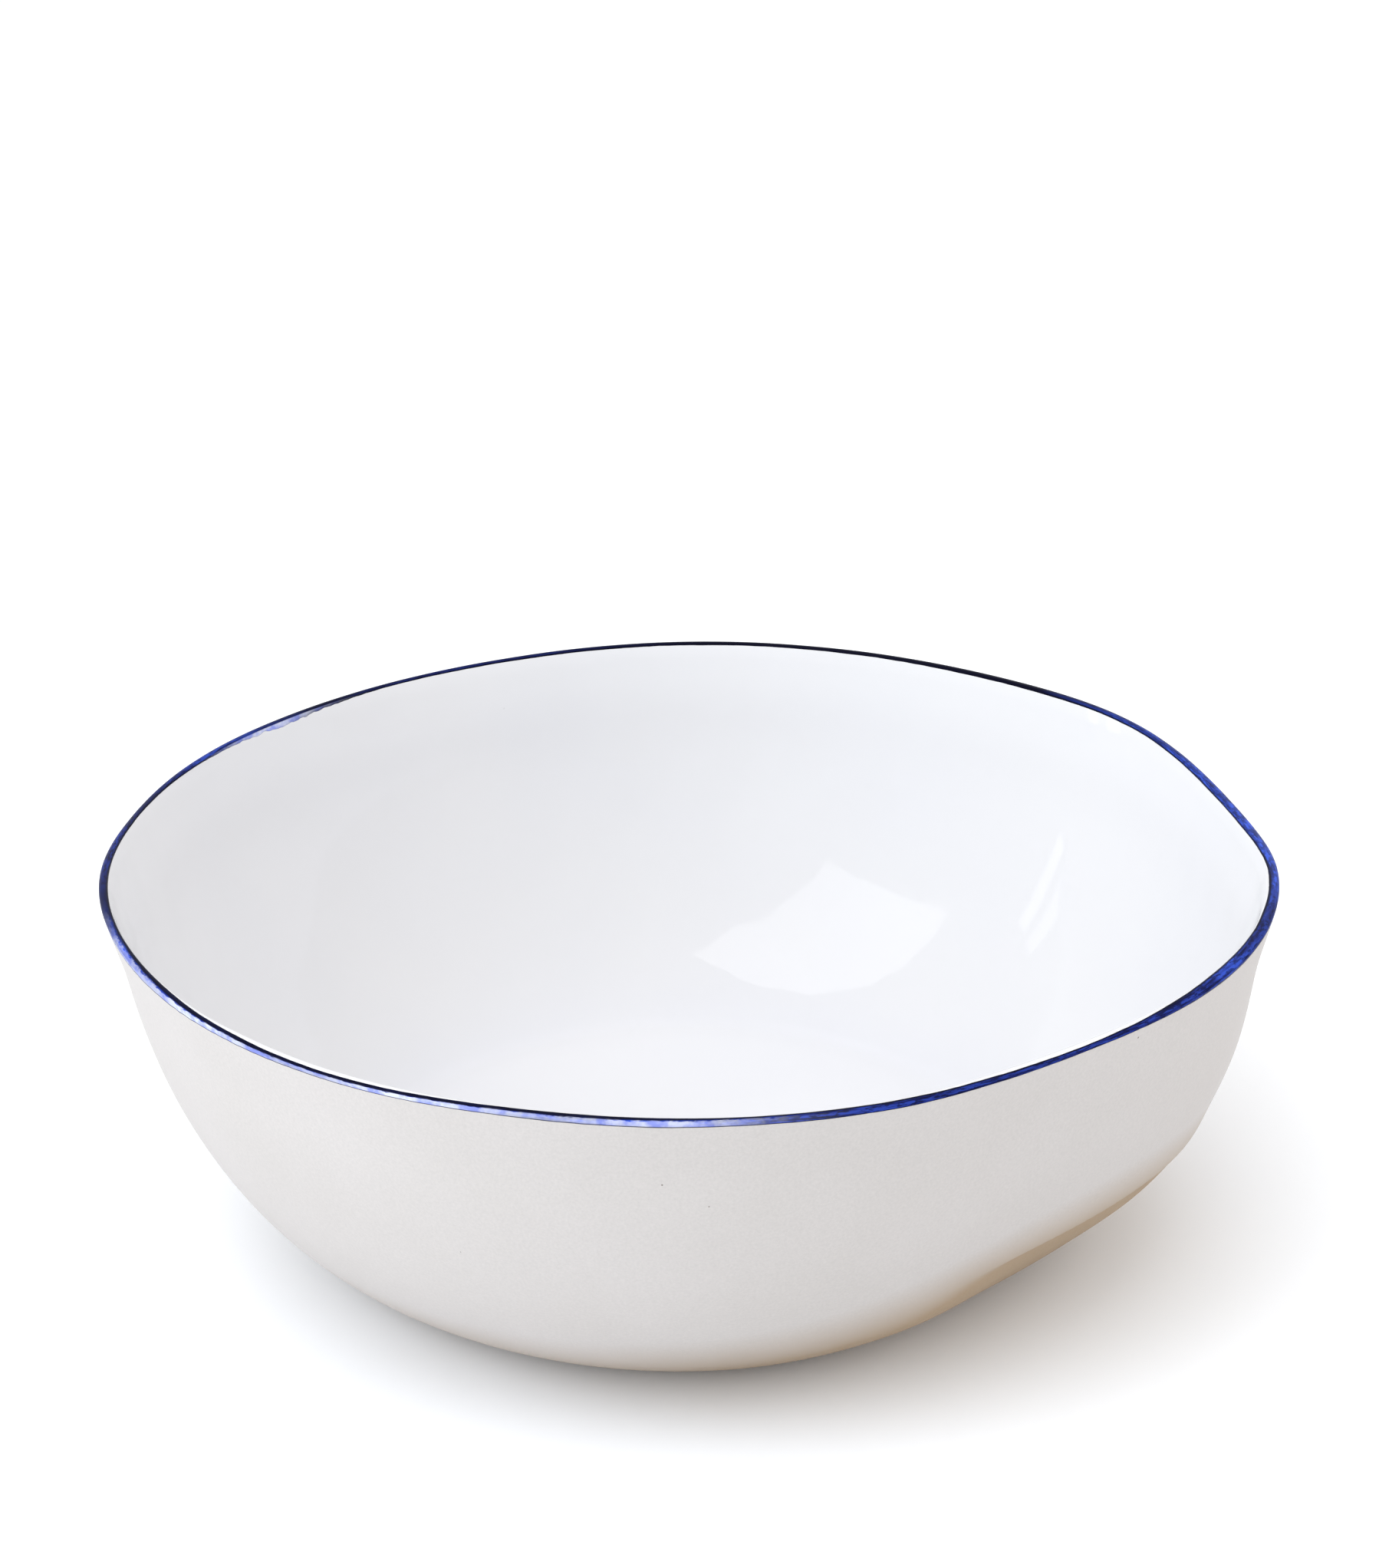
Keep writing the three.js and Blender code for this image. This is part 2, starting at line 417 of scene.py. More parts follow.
# how ragged the paint's edges are: shares of Raggedness, and of the way over the lip
paintEdge = {"slowScale": 9.0, "fineScale": 42.0, "insideSlowScale": 12.0, "insideFineScale": 48.0,
             "outsideFine": 0.3, "outsideFineInWash": 2.0, "outsideLimit": -0.12, "insideReach": 0.97,
             "spill": 2.2, "spillRagged": 5.0, "insideSlow": 0.6, "insideFine": 0.3}

# how the two edges of the line wander: angle and spread in degrees, and how much further the paint
# reaches on the outside and on the inside, in millimetres
lineEdges = [
    {"angle": 350, "spread": 10, "outside": 0.9, "inside": -0.7},
    {"angle": 12, "spread": 12, "outside": 0.05, "inside": 0.35},
    {"angle": 48, "spread": 24, "outside": 0.0, "inside": 0.45},
    {"angle": 100, "spread": 30, "outside": 0.0, "inside": 0.25},
    {"angle": 154, "spread": 8, "outside": 0.0, "inside": 0.2},
    {"angle": 171, "spread": 7, "outside": 0.0, "inside": -0.35},
    {"angle": 194, "spread": 13, "outside": 0.4, "inside": 0.4},
    {"angle": 235, "spread": 25, "outside": 0.9, "inside": -1.9},
    {"angle": 266, "spread": 9, "outside": 0.4, "inside": -0.4},
    {"angle": 307, "spread": 25, "outside": 0.25, "inside": -1.7},
    {"angle": 329, "spread": 10, "outside": 0.45, "inside": 0.3},
]


# The painted line: a thin closed band that follows the lip. Its outer edge runs down the outside by a
# brushed, ragged amount, and its inner edge stops on the crest or just over it.
def rimLineTree():
    inputs = {"Around": 1440, "Across": 32, "Material": None, "Proud": 0.06 * mm, "Under": 0.01 * mm,
              "Lip Path": 3.1 * mm, "Level Length": 184.6 * mm, "Outside Drop": -0.15 * mm,
              "Wash Drop": 1.0 * mm, "Raggedness": 0.5 * mm, **bowlForm}
    tree, given, result = newTree("rimLineForm", inputs, {"Geometry": "NodeSocketGeometry"})
    lipLoop = tree.nodes.new("GeometryNodeCurvePrimitiveCircle")
    lipLoop.inputs["Radius"].default_value = 0.14
    tree.links.new(given["Around"], lipLoop.inputs["Resolution"])
    section = tree.nodes.new("GeometryNodeCurvePrimitiveCircle")
    section.inputs["Radius"].default_value = 0.002
    tree.links.new(given["Across"], section.inputs["Resolution"])
    ways = []
    kept = []
    for curve in (lipLoop, section):
        factor = tree.nodes.new("GeometryNodeSplineParameter")
        capture = tree.nodes.new("GeometryNodeCaptureAttribute")
        capture.domain = "POINT"
        capture.capture_items.new("FLOAT", "way")
        tree.links.new(curve.outputs["Curve"], capture.inputs["Geometry"])
        tree.links.new(factor.outputs["Factor"], capture.inputs[1])
        kept.append(capture.outputs["Geometry"])
        ways.append(capture.outputs[1])
    sweep = tree.nodes.new("GeometryNodeCurveToMesh")
    tree.links.new(kept[0], sweep.inputs["Curve"])
    tree.links.new(kept[1], sweep.inputs["Profile Curve"])
    around, loop = ways
    turn = product(tree, around, 360.0)
    radians = product(tree, around, 2 * math.pi)

    # the paint stops near the two edges of the lip, runs down as a thin wash on one side, and spills
    # over the inner edge in one place
    spot = joined(tree, calc(tree, "COSINE", radians), calc(tree, "SINE", radians))
    look = paintEdge
    ragged = []
    for seed, scale in ((0.0, look["slowScale"]), (3.0, look["fineScale"]),
                        (7.0, look["insideSlowScale"]), (11.0, look["insideFineScale"])):
        noise = tree.nodes.new("ShaderNodeTexNoise")
        noise.noise_dimensions = "4D"
        noise.inputs["W"].default_value = seed
        noise.inputs["Scale"].default_value = scale
        noise.inputs["Detail"].default_value = 3.0
        tree.links.new(spot, noise.inputs["Vector"])
        ragged.append(minus(tree, noise.outputs[0], 0.5))
    slow, fine, insideSlow, insideFine = ragged
    rag = given["Raggedness"]
    wash = bump(tree, turnBetween(tree, turn, paintRun["washTurn"]), paintRun["washSpread"])
    outside = total(tree, given["Outside Drop"], product(tree, wash, given["Wash Drop"]),
                    product(tree, rag, slow),
                    product(tree, rag, fine, total(tree, look["outsideFine"],
                                                   product(tree, wash, look["outsideFineInWash"]))))
    outside = calc(tree, "MAXIMUM", outside, product(tree, given["Lip Path"], look["outsideLimit"]))
    spill = bump(tree, turnBetween(tree, turn, paintRun["spillTurn"]), paintRun["spillSpread"])
    spillEdge = total(tree, look["spill"], product(tree, insideFine, look["spillRagged"]))
    inside = total(tree, product(tree, given["Lip Path"], look["insideReach"]),
                   product(tree, rag, spill, spillEdge),
                   product(tree, rag, insideSlow, look["insideSlow"]),
                   product(tree, rag, insideFine, look["insideFine"]))
    for edge in lineEdges:
        near = bump(tree, turnBetween(tree, turn, float(edge["angle"])), float(edge["spread"]))
        outside = total(tree, outside, product(tree, near, edge["outside"] * mm))
        inside = total(tree, inside, product(tree, near, edge["inside"] * mm))

    # round the thin section: out over the lip on top, back again underneath
    isTop = calc(tree, "LESS_THAN", loop, 0.5)
    across = calc(tree, "PINGPONG", product(tree, loop, 2.0), 1.0)
    width = total(tree, outside, inside)
    path = total(tree, product(tree, outside, -1.0), product(tree, across, width))
    dropOut = calc(tree, "MAXIMUM", product(tree, path, -1.0), 0.0)
    dropIn = calc(tree, "MAXIMUM", minus(tree, path, given["Lip Path"]), 0.0)
    drop = total(tree, dropOut, dropIn)
    level = minus(tree, 1.0, calc(tree, "DIVIDE", drop, given["Level Length"]))
    crest = spanOf(tree, path, 0.0, given["Lip Path"], 0.0, math.pi)
    edgeFade = calc(tree, "SQRT", calc(tree, "SINE", product(tree, across, math.pi)))
    proud = product(tree, minus(tree, given["Proud"], given["Under"]), isTop, edgeFade)
    inset = product(tree, total(tree, proud, given["Under"]), -1.0)
    placed = useGroup(tree, bowlWall, {"Turn": turn, "Level": level, "Crest": crest, "Inset": inset,
                                       "Share": 1.0, **passForm(given)})
    stored = storeNumber(tree, sweep.outputs["Mesh"], "acrossTheLine", across)
    stored = storeNumber(tree, stored, "overTheLip", calc(tree, "DIVIDE", crest, math.pi))
    moved = setPlaces(tree, stored, placed["Position"])
    finishTree(tree, moved, given["Material"], result)
    return tree


# runs a tree on an empty mesh and keeps the result as a plain mesh
def grow(name, tree, material, sizes):
    holder = bpy.data.objects.new(name + "Form", bpy.data.meshes.new(name + "Form"))
    bpy.context.scene.collection.objects.link(holder)
    form = holder.modifiers.new(name, "NODES")
    form.node_group = tree
    inputs = [item for item in tree.interface.items_tree if item.in_out == "INPUT"]
    labels = {item.name: item.identifier for item in inputs}
    form[labels["Material"]] = material
    for label, value in sizes.items():
        form[labels[label]] = value
    holder.update_tag()
    bpy.context.view_layer.update()
    shape = holder.evaluated_get(bpy.context.evaluated_depsgraph_get())
    mesh = bpy.data.meshes.new_from_object(shape)
    holder.modifiers.remove(form)
    bpy.data.objects.remove(holder)
    mesh.name = name
    if not mesh.materials:
        mesh.materials.append(material)
    piece = bpy.data.objects.new(name, mesh)
    bpy.context.scene.collection.objects.link(piece)
    print(name, "grown:", len(mesh.vertices), "points")
    return piece


# a display colour, 0 to 255, as the linear values that shaders take
def shade(red, green, blue):
    linear = []
    for value in (red, green, blue):
        part = value / 255
        linear.append(part / 12.92 if value < 11 else ((part + 0.055) / 1.055) ** 2.4)
    return (*linear, 1.0)


def newFinish(name):
    finish = bpy.data.materials.new(name)
    finish.use_nodes = True
    tree = finish.node_tree
    surface = next(node for node in tree.nodes if node.type == "BSDF_PRINCIPLED")
    return finish, tree, surface


def blendColours(tree, amount, first, second, mode="MIX"):
    node = tree.nodes.new("ShaderNodeMix")
    node.data_type = "RGBA"
    node.blend_type = mode
    feed(tree, amount, node.inputs[0])
    feed(tree, first, node.inputs[6])
    feed(tree, second, node.inputs[7])
    return node.outputs[2]


def objectPlace(tree):
    return tree.nodes.new("ShaderNodeTexCoord").outputs["Object"]


def numberOf(tree, name):
    node = tree.nodes.new("ShaderNodeAttribute")
    node.attribute_name = name
    return node.outputs["Fac"]


def raised(tree, height, distance, strength, under=None):
    node = tree.nodes.new("ShaderNodeBump")
    node.inputs["Distance"].default_value = distance
    node.inputs["Strength"].default_value = strength
    tree.links.new(height, node.inputs["Height"])
    if under is not None:
        tree.links.new(under, node.inputs["Normal"])
    return node.outputs["Normal"]


# pinholes in the glaze: 1 inside one, 0 elsewhere
def pinholes(tree, place, spacing, size):
    node = tree.nodes.new("ShaderNodeTexVoronoi")
    tree.links.new(place, node.inputs["Vector"])
    node.inputs["Scale"].default_value = 1 / spacing
    return spanOf(tree, node.outputs["Distance"], size / spacing * 0.55, size / spacing, 1.0, 0.0)


# the few iron specks in the clay, by angle round the bowl in degrees and by height
ironSpecks = [(315.8, 91.0 * mm), (268.0, 78.0 * mm), (272.1, 72.0 * mm), (248.2, 52.3 * mm),
              (196.0, 61.0 * mm), (31.0, 70.0 * mm), (84.0, 44.0 * mm), (137.0, 80.0 * mm)]


biscuitLook = {
    "clay": shade(198, 193, 190),
    "clayShade": shade(193, 188, 184),
    # painted shade and warm bounced light low on the wall and under the fold
    "underShadeColour": shade(163, 142, 117),
    # painted shade in the crease of the fold
    "creaseShadeColour": shade(104, 88, 76),
    # where the painted shade and bounced light lie low on the wall, and how strong they are
    "underShadeTop": 23 * mm,
    "underShadeClimb": 29 * mm,
    "underShadeFade": 20 * mm,
    "underShadeTurn": 330.0,
    "underShadeSpread": 42.0,
    "underShadeAmount": 1.2,
    "underShadeBlur": 1.1,
    "underShadePatches": 45.0,
    "underShadeAllRound": 0.12,
    "underShadeSideSpread": 2.4,
    "underShadeInFold": 0.25,
    "creaseShadeAmount": 0.75,
    "fleck": shade(98, 86, 76),
    "fleckSize": 0.3 * mm,
    "fleckShare": 0.85,
    "mottleScale": 22.0,
    "mottleShare": 0.6,
    "grainScale": 1500.0,
    "grainDark": 0.93,
    "grainLight": 1.03,
    "grainDepth": 0.03 * mm,
    "skinScale": 260.0,
    "skinDepth": 0.05 * mm,
    "smoothest": 0.62,
    "roughest": 0.78,
    "shine": 0.35,
}


def biscuitFinish():
    look = biscuitLook
    finish, tree, surface = newFinish("biscuitPorcelain")
    place = objectPlace(tree)
    x, y, z = splitPlace(tree, place)
    mottle = spanOf(tree, noiseOn(tree, place, look["mottleScale"], 3.0), 0.35, 0.7)
    mottled = product(tree, mottle, look["mottleShare"])
    colour = blendColours(tree, mottled, look["clay"], look["clayShade"])
    grain = noiseOn(tree, place, look["grainScale"], 3.0, 0.65)
    grey = spanOf(tree, grain, 0.3, 0.7, look["grainDark"], look["grainLight"])
    grains = tree.nodes.new("ShaderNodeCombineColor")
    for socket in grains.inputs[:3]:
        tree.links.new(grey, socket)
    colour = blendColours(tree, 1.0, colour, grains.outputs[0], "MULTIPLY")

    # painted shade and warm bounced light: browner low on the wall, high up to the fold on one side,
    # and in the tucked strip under the fold
    bearing = calc(tree, "DEGREES", calc(tree, "ARCTAN2", y, x))
    aside = turnBetween(tree, bearing, look["underShadeTurn"])
    climb = product(tree, bump(tree, aside, look["underShadeSpread"]), look["underShadeClimb"])
    top = total(tree, look["underShadeTop"], climb)
    low = calc(tree, "DIVIDE", minus(tree, top, z), look["underShadeFade"])
    low = calc(tree, "POWER", spanOf(tree, low, 0.0, 1.0), look["underShadeBlur"])
    uneven = spanOf(tree, noiseOn(tree, place, look["underShadePatches"], 3.0), 0.3, 0.7, 0.85, 1.0)
    side = bump(tree, aside, look["underShadeSpread"] * look["underShadeSideSpread"])
    side = total(tree, look["underShadeAllRound"], product(tree, side, 1.0 - look["underShadeAllRound"]))
    underShade = total(tree, product(tree, low, side, uneven, look["underShadeAmount"]),
                  product(tree, numberOf(tree, "folded"), look["underShadeInFold"]))
    colour = blendColours(tree, calc(tree, "MINIMUM", underShade, 1.0), colour, look["underShadeColour"])
    # painted shade darkening the crease line of the fold
    creaseShade = product(tree, numberOf(tree, "creased"), look["creaseShadeAmount"])
    colour = blendColours(tree, calc(tree, "MINIMUM", creaseShade, 1.0), colour, look["creaseShadeColour"])
    for index, (angle, height) in enumerate(ironSpecks):
        turned = calc(tree, "RADIANS", turnBetween(tree, bearing, angle))
        sideways = product(tree, turned, bowlForm["Rim Radius"])
        upwards = minus(tree, z, height)
        squares = total(tree, product(tree, sideways, sideways), product(tree, upwards, upwards))
        size = look["fleckSize"] * (1.0 - 0.15 * (index % 4))  # no two neighbours are the same size
        speck = spanOf(tree, calc(tree, "SQRT", squares), size * 0.5, size, look["fleckShare"], 0.0)
        colour = blendColours(tree, speck, colour, look["fleck"])
    tree.links.new(colour, surface.inputs["Base Color"])
    rough = spanOf(tree, grain, 0.3, 0.7, look["smoothest"], look["roughest"])
    tree.links.new(rough, surface.inputs["Roughness"])
    surface.inputs["Specular IOR Level"].default_value = look["shine"]
    skin = raised(tree, noiseOn(tree, place, look["skinScale"], 3.0), look["skinDepth"], 0.5)
    tree.links.new(raised(tree, grain, look["grainDepth"], 0.6, skin), surface.inputs["Normal"])
    return finish


glazeLook = {
    "milk": shade(221, 220, 221),
    "pooled": shade(216, 216, 220),
    "pinhole": shade(205, 204, 205),
    "pinholeSpacing": 24 * mm,
    "pinholeSize": 0.35 * mm,
    "pinholeShare": 0.6,
    "poolLevel": 0.12,
    "poolReach": 0.2,
    "poolShare": 0.6,
    "driftScale": 14.0,
    "driftShare": 0.35,
    "swellScale": 30.0,
    "swellDepth": 0.2 * mm,
    "orangePeelScale": 420.0,
    "orangePeelDepth": 0.004 * mm,
    "sheenScale": 60.0,
    "smoothest": 0.03,
    "roughest": 0.07,
}


def glazeFinish():
    look = glazeLook
    finish, tree, surface = newFinish("clearGlaze")
    place = objectPlace(tree)
    upTheWall = numberOf(tree, "upTheWall")
    drift = spanOf(tree, noiseOn(tree, place, look["driftScale"], 3.0), 0.35, 0.7)
    # the glaze is thicker where the floor meets the wall
    pool = bump(tree, minus(tree, upTheWall, look["poolLevel"]), look["poolReach"])
    thick = total(tree, product(tree, pool, look["poolShare"]),
                  product(tree, drift, look["driftShare"]))
    colour = blendColours(tree, thick, look["milk"], look["pooled"])
    pinhole = pinholes(tree, place, look["pinholeSpacing"], look["pinholeSize"])
    pinhole = product(tree, pinhole, look["pinholeShare"])
    colour = blendColours(tree, pinhole, colour, look["pinhole"])
    tree.links.new(colour, surface.inputs["Base Color"])
    sheen = noiseOn(tree, place, look["sheenScale"])
    rough = spanOf(tree, sheen, 0.3, 0.7, look["smoothest"], look["roughest"])
    tree.links.new(rough, surface.inputs["Roughness"])
    surface.inputs["IOR"].default_value = 1.5
    swell = raised(tree, noiseOn(tree, place, look["swellScale"], 1.5, 0.4), look["swellDepth"], 0.6)
    peel = noiseOn(tree, place, look["orangePeelScale"], 1.0)
    tree.links.new(raised(tree, peel, look["orangePeelDepth"], 0.5, swell), surface.inputs["Normal"])
    return finish


cobaltLook = {
    # dark pooled paint, also used for the painted shade at the back of the lip
    "inkAndShade": shade(6, 6, 26),
    "cobalt": shade(26, 37, 112),
    "bright": shade(56, 88, 204),
    "wash": shade(150, 160, 232),
    "thinWash": shade(214, 218, 240),
    "washEdge": 0.64,
    "washPatches": 220.0,
    "heavyTurn": 242.0,
    "heavySpread": 45.0,
    "streaksRound": 13.0,
    "streaksAcross": 4.0,
    "dabsRound": 55.0,
    "dabsAcross": 5.0,
    "streakShine": 0.36,
    "loadShine": 0.4,
    "darkest": 0.85,
    "innerEdge": 0.84,
    "innerEdgeHeavy": -0.22,
    "outerEdge": 0.1,
    # painted shade: how much further the dark outer edge reaches towards the back
    "outerEdgeShadeBack": 0.42,
    "smoothest": 0.25,
    "roughest": 0.4,
    "shine": 0.06,
    "ridges": 0.03 * mm,
}

# how the brush was charged round the lip: angle and spread in degrees, how dark, how bright, and how
# much of the outer part is thinned to a wash; the wide dark patch at the back is painted shade, and the
# bright patches on the right are partly painted highlight
brushLoadsAndPaintedLight = [
    {"angle": 86, "spread": 42, "dark": 1.0, "bright": 0.0, "wash": 0.0},
    {"angle": 56, "spread": 14, "dark": 0.8, "bright": 0.0, "wash": 0.0},
    {"angle": 136, "spread": 12, "dark": 0.7, "bright": 0.0, "wash": 0.0},
    {"angle": 168, "spread": 9, "dark": 0.7, "bright": 0.0, "wash": 0.0},
    {"angle": 194, "spread": 9, "dark": 0.85, "bright": 0.0, "wash": 0.0},
    {"angle": 206, "spread": 6, "dark": 0.0, "bright": 0.9, "wash": 0.45},
    {"angle": 221, "spread": 9, "dark": 0.0, "bright": 0.2, "wash": 0.95},
    {"angle": 231, "spread": 4, "dark": 0.3, "bright": 0.4, "wash": 0.1},
    {"angle": 246, "spread": 12, "dark": 0.0, "bright": 0.2, "wash": 0.95},
    {"angle": 268, "spread": 8, "dark": 0.0, "bright": 0.6, "wash": 0.7},
    {"angle": 305, "spread": 22, "dark": 0.3, "bright": 0.1, "wash": 0.0},
    {"angle": 330, "spread": 6, "dark": 0.0, "bright": 0.5, "wash": 0.0},
    {"angle": 341, "spread": 7, "dark": 0.4, "bright": 0.0, "wash": 0.0},
    {"angle": 352, "spread": 8, "dark": 0.0, "bright": 0.9, "wash": 0.0},
    {"angle": 10, "spread": 16, "dark": 0.0, "bright": 0.8, "wash": 0.0},
    {"angle": 32, "spread": 9, "dark": 0.1, "bright": 0.6, "wash": 0.0},
    {"angle": 148, "spread": 9, "dark": 0.0, "bright": 0.6, "wash": 0.0},
]


def cobaltFinish():
    look = cobaltLook
    finish, tree, surface = newFinish("cobaltLine")
    place = objectPlace(tree)
    x, y = splitPlace(tree, place)[:2]
    bearing = calc(tree, "ARCTAN2", y, x)
    degrees = calc(tree, "DEGREES", bearing)
    across = numberOf(tree, "acrossTheLine")
    overTheLip = numberOf(tree, "overTheLip")

    # brush marks run with the lip, so they are long around it and narrow across it
    def brushed(aroundScale, acrossScale, detail):
        spot = joined(tree, product(tree, calc(tree, "COSINE", bearing), aroundScale),
                      product(tree, calc(tree, "SINE", bearing), aroundScale),
                      product(tree, across, acrossScale))
        return noiseOn(tree, spot, 1.0, detail, 0.6)

    streak = brushed(look["streaksRound"], look["streaksAcross"], 4.0)
    dabs = brushed(look["dabsRound"], look["dabsAcross"], 3.0)
    darks, brights, washes = [], [], []
    for loadAndLight in brushLoadsAndPaintedLight:
        here = bump(tree, turnBetween(tree, degrees, float(loadAndLight["angle"])), float(loadAndLight["spread"]))
        darks.append(product(tree, here, loadAndLight["dark"]))
        brights.append(product(tree, here, loadAndLight["bright"]))
        washes.append(product(tree, here, loadAndLight["wash"]))
    loadAndLight = calc(tree, "MINIMUM", total(tree, *brights), 1.0)
    lit = spanOf(tree, streak, 0.46, 0.58)
    shine = look["loadShine"]
    bright = total(tree, product(tree, lit, look["streakShine"]),
                   product(tree, loadAndLight, total(tree, shine, product(tree, lit, shine))))
    colour = blendColours(tree, calc(tree, "MINIMUM", bright, 1.0), look["cobalt"], look["bright"])
    # fewer dark marks where the line is brightest, from a full brush and from painted highlight
    dab = product(tree, spanOf(tree, dabs, 0.48, 0.56),
                  total(tree, look["darkest"], product(tree, loadAndLight, -0.35)))
    streaked = product(tree, spanOf(tree, streak, 0.46, 0.38),
                       total(tree, look["darkest"], product(tree, loadAndLight, -0.2)))
    # the dark marks include the painted shade at the back of the lip
    dark = calc(tree, "MAXIMUM", calc(tree, "MAXIMUM", dab, streaked), total(tree, *darks))
    colour = blendColours(tree, calc(tree, "MINIMUM", dark, 1.0), colour, look["inkAndShade"])

    # the outer part thinned to a wash, and the patch that spilled over the inner edge
    wash = calc(tree, "MINIMUM", total(tree, *washes), 1.0)
    edge = total(tree, look["washEdge"], product(tree, minus(tree, dabs, 0.5), 0.6))
    isOuter = spanOf(tree, across, minus(tree, edge, 0.05), total(tree, edge, 0.03), 1.0, 0.0)
    patches = spanOf(tree, noiseOn(tree, place, look["washPatches"], 3.0, 0.6), 0.42, 0.6)
    thin = blendColours(tree, patches, look["thinWash"], look["wash"])
    colour = blendColours(tree, product(tree, wash, isOuter), colour, thin)
    fromSpill = turnBetween(tree, degrees, paintRun["spillTurn"] + 2)
    isInside = spanOf(tree, overTheLip, 0.86, 0.98)
    spilt = product(tree, bump(tree, fromSpill, paintRun["spillSpread"] * 1.2), isInside)
    colour = blendColours(tree, product(tree, spilt, 0.9), colour, thin)

    # the paint gathers at the edge of a stroke, most of all along the inner one; the dark outer edge
    # widens towards the back as painted shade on the far side of the lip
    heavy = bump(tree, turnBetween(tree, degrees, look["heavyTurn"]), look["heavySpread"])
    inner = total(tree, look["innerEdge"], product(tree, heavy, look["innerEdgeHeavy"]))
    shadeTowardsBack = calc(tree, "MAXIMUM", calc(tree, "SINE", bearing), 0.0)
    outer = total(tree, look["outerEdge"], product(tree, shadeTowardsBack, look["outerEdgeShadeBack"]))
    outerEdgeAndShade = spanOf(tree, across, minus(tree, outer, 0.03), total(tree, outer, 0.04),
                      look["darkest"], 0.0)
    innerRim = spanOf(tree, across, minus(tree, inner, 0.06), total(tree, inner, 0.05), 0.0, 0.95)
    rim = product(tree, calc(tree, "MAXIMUM", outerEdgeAndShade, innerRim), minus(tree, 1.0, spilt))
    colour = blendColours(tree, rim, colour, look["inkAndShade"])
    tree.links.new(colour, surface.inputs["Base Color"])
    rough = spanOf(tree, streak, 0.3, 0.7, look["smoothest"], look["roughest"])
    tree.links.new(rough, surface.inputs["Roughness"])
    surface.inputs["Specular IOR Level"].default_value = look["shine"]
    tree.links.new(raised(tree, streak, look["ridges"], 0.4), surface.inputs["Normal"])
    return finish


bodyForm = {**bowlForm, "Segments": 512, "Rings": 190, "Lining": 0.4 * mm, "Clearance": 0.04 * mm}
liningForm = {**bowlForm, "Segments": 512, "Rings": 150, "Lining": 0.4 * mm, "Lining Edge": 0.35}
lineForm = {**bowlForm, "Around": 1440, "Across": 32}

body = grow("biscuitBody", turnedLayerTree("biscuitBodyForm", False), biscuitFinish(), bodyForm)
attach(body, "root")
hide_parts("porcelain_body")

lining = grow("glazeLining", turnedLayerTree("glazeLiningForm", True), glazeFinish(), liningForm)
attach(lining, "root")
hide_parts("inner_glaze")

line = grow("paintedLine", rimLineTree(), cobaltFinish(), lineForm)
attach(line, "root")
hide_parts("rim_line")

stageLook = {
    "floor": shade(252, 253, 255),
    "floorSize": 9.0,
    "floorDrop": 0.1 * mm,
    "sky": 0.63,
}

# soft boxes, all turned to the bowl; the large ones are not mirrored in the glaze
softBoxes = {
    "window": {"size": (1.0, 1.5), "place": (-0.825, -0.578, 1.661), "power": 6.0},
    "doorwayLeft": {"size": (0.16, 0.8), "place": (-1.931, 0.067, 0.568), "power": 0.5},
    "doorwayRight": {"size": (0.22, 0.9), "place": (-1.898, 0.403, 0.534), "power": 0.6},
    "lowFill": {"size": (3.4, 2.2), "place": (-1.7, -1.328, 1.102), "power": 43.2,
                "tint": (0.842, 0.923, 1.0), "mirrored": False},
    "overhead": {"size": (2.8, 2.8), "place": (-0.2, 0.1, 2.4), "power": 26.7, "mirrored": False},
    "rightPanel": {"size": (2.4, 2.4), "place": (2.078, 0.0, 1.25), "power": 20.8, "mirrored": False},
}


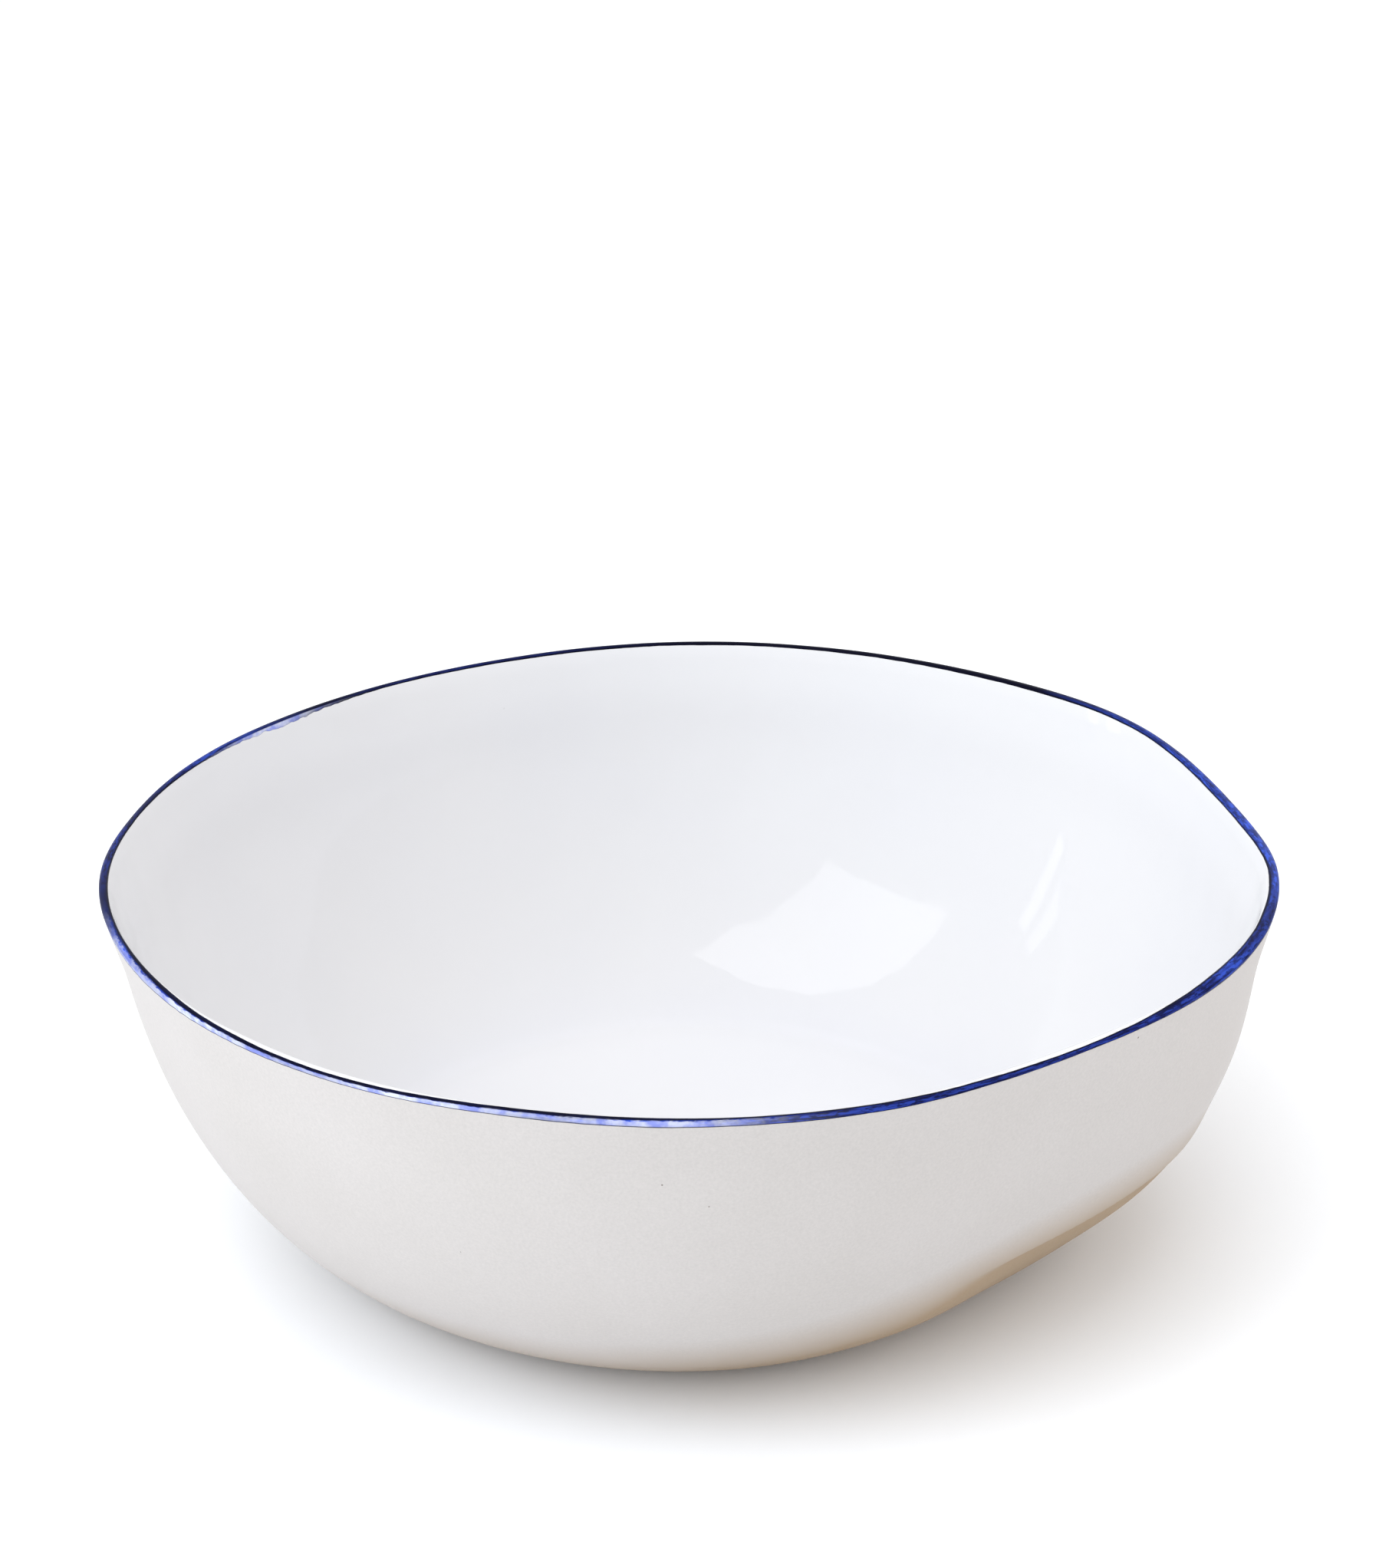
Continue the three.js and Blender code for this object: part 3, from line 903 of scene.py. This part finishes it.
def makeFloor():
    half = stageLook["floorSize"] / 2
    mesh = bpy.data.meshes.new("floor")
    corners = [(-half, -half), (half, -half), (half, half), (-half, half)]
    mesh.from_pydata([(x, y, -stageLook["floorDrop"]) for x, y in corners], [], [(0, 1, 2, 3)])
    floor = bpy.data.objects.new("floor", mesh)
    bpy.context.scene.collection.objects.link(floor)
    finish, tree, surface = newFinish("paleFloor")
    surface.inputs["Base Color"].default_value = stageLook["floor"]
    surface.inputs["Roughness"].default_value = 0.9
    surface.inputs["Specular IOR Level"].default_value = 0.1
    mesh.materials.append(finish)


def softLight(name, size, place, power, tint=(1, 1, 1), mirrored=True):
    lamp = bpy.data.lights.new(name, "AREA")
    lamp.shape = "RECTANGLE"
    lamp.size, lamp.size_y = size
    lamp.energy = power
    lamp.color = tint
    holder = bpy.data.objects.new(name, lamp)
    bpy.context.scene.collection.objects.link(holder)
    holder.visible_glossy = mirrored
    away = Vector(place) - Vector((0, 0, 0.05))  # it faces the middle of the bowl
    holder.matrix_world = Matrix.Translation(place) @ away.to_track_quat("Z", "Y").to_matrix().to_4x4()


def makeLight():
    world = bpy.data.worlds.new("paleRoom")
    world.use_nodes = True
    sky = world.node_tree.nodes["Background"]
    sky.inputs["Color"].default_value = (1, 1, 1, 1)
    sky.inputs["Strength"].default_value = stageLook["sky"]
    bpy.context.scene.world = world
    for name, box in softBoxes.items():
        softLight(name, **box)
    bpy.context.scene.view_settings.view_transform = "Standard"


cameraLook = {"lens": 85.0, "distance": 0.882, "pitch": 23.1, "aim": (0.0009, 0.0, 0.110)}


def makeCamera():
    data = bpy.data.cameras.new("camera")
    data.lens = cameraLook["lens"]
    data.sensor_width = 36.0
    data.clip_start, data.clip_end = 0.01, 50.0
    camera = bpy.data.objects.new("camera", data)
    bpy.context.scene.collection.objects.link(camera)
    pitch = math.radians(cameraLook["pitch"])
    back = Vector((0.0, -math.cos(pitch), math.sin(pitch)))
    place = Vector(cameraLook["aim"]) + back * cameraLook["distance"]
    camera.matrix_world = Matrix.Translation(place) @ back.to_track_quat("Z", "Y").to_matrix().to_4x4()
    bpy.context.scene.camera = camera


makeFloor()
makeLight()
makeCamera()
print("stage set")
